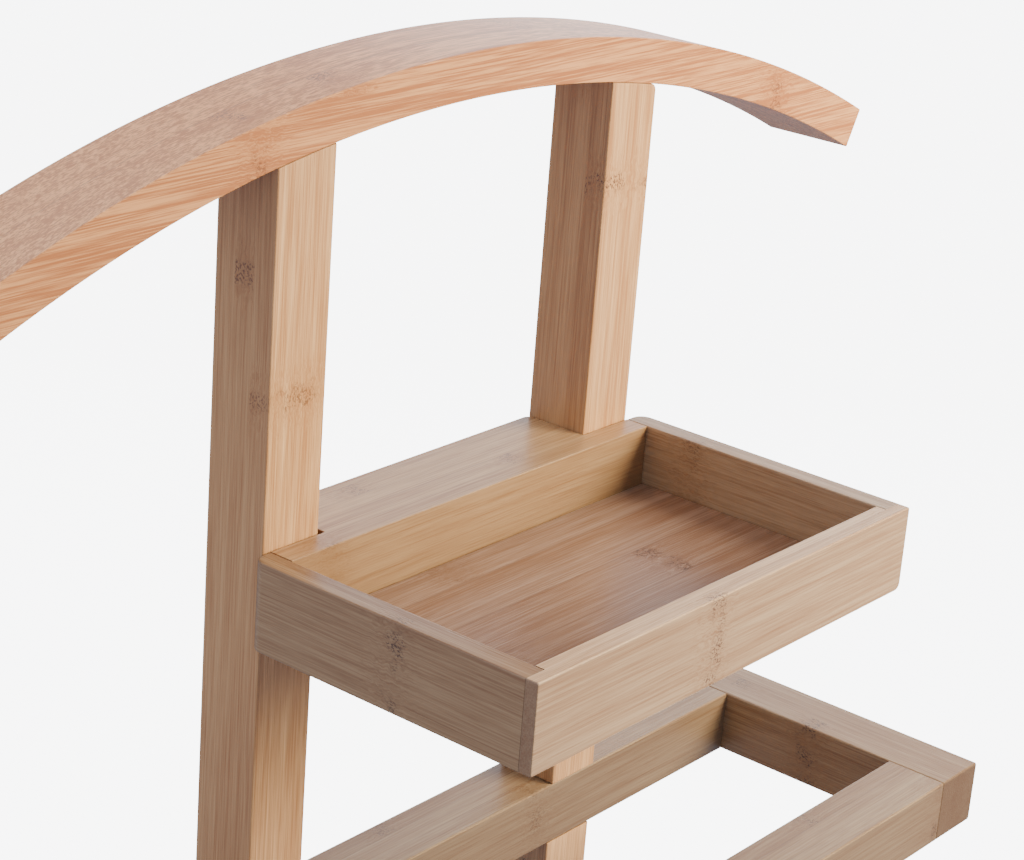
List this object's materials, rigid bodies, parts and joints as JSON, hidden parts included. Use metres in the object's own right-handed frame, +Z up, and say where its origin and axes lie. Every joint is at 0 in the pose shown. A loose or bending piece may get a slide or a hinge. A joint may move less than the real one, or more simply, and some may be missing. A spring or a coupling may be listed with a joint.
{
  "type": "valet stand",
  "caption": "Free-standing bamboo valet stand: arched jacket hanger, shallow tray, trouser frame and slatted shoe rack carried on square posts.",
  "frame": {"origin": "on the floor, at the middle of the base's footprint", "axes": "+Z up, the front with the tray faces -Y, +X to the right when seen from the front"},
  "size_m": [0.4588, 0.32, 1.049],
  "materials": {
    "pale_bamboo": "clear satin lacquer on edge-glued bamboo strips",
    "warm_bamboo": "clear satin lacquer, band-sawn bamboo block",
    "floor_bamboo": "clear satin lacquer, slightly darker panel",
    "dowel_wood": "raw beech",
    "zinc_steel": "zinc plated",
    "brass": "plain turned",
    "dark_felt": "pressed felt"
  },
  "bodies": {
    "root": {"base_bolt_left": "zinc_steel", "base_bolt_right": "zinc_steel", "base_dowel_front_left": "dowel_wood", "base_dowel_front_right": "dowel_wood", "base_dowel_rear_left": "dowel_wood", "base_dowel_rear_right": "dowel_wood", "base_front_bar": "pale_bamboo", "base_left_rail": "pale_bamboo", "base_rear_bar": "pale_bamboo", "base_right_rail": "pale_bamboo", "bow_dowel_left": "dowel_wood", "bow_dowel_right": "dowel_wood", "foot_insert_left": "brass", "foot_insert_right": "brass", "hanger_bow": "warm_bamboo", "leg_dowel_front_left": "dowel_wood", "leg_dowel_front_right": "dowel_wood", "leg_dowel_rear_left": "dowel_wood", "leg_dowel_rear_right": "dowel_wood", "leg_front_left": "pale_bamboo", "leg_front_right": "pale_bamboo", "leg_rear_left": "pale_bamboo", "leg_rear_right": "pale_bamboo", "lower_insert_left": "brass", "lower_insert_right": "brass", "lower_post_left": "pale_bamboo", "lower_post_right": "pale_bamboo", "pad_front_left": "dark_felt", "pad_front_right": "dark_felt", "pad_rear_left": "dark_felt", "pad_rear_right": "dark_felt", "post_stud_left": "zinc_steel", "post_stud_right": "zinc_steel", "shoe_slat_1": "pale_bamboo", "shoe_slat_2": "pale_bamboo", "shoe_slat_3": "pale_bamboo", "shoe_slat_4": "pale_bamboo", "shoe_slat_5": "pale_bamboo", "tray_floor": "floor_bamboo", "tray_front_wall": "pale_bamboo", "tray_left_wall": "pale_bamboo", "tray_rear_beam": "pale_bamboo", "tray_right_wall": "pale_bamboo", "tray_screw_left": "zinc_steel", "tray_screw_right": "zinc_steel", "trouser_dowel_front_left": "dowel_wood", "trouser_dowel_front_right": "dowel_wood", "trouser_dowel_rear_left": "dowel_wood", "trouser_dowel_rear_right": "dowel_wood", "trouser_front_bar": "pale_bamboo", "trouser_left_bar": "pale_bamboo", "trouser_rear_bar": "pale_bamboo", "trouser_right_bar": "pale_bamboo", "upper_insert_left": "brass", "upper_insert_right": "brass", "upper_post_left": "pale_bamboo", "upper_post_right": "pale_bamboo"}
  },
  "joints": []
}
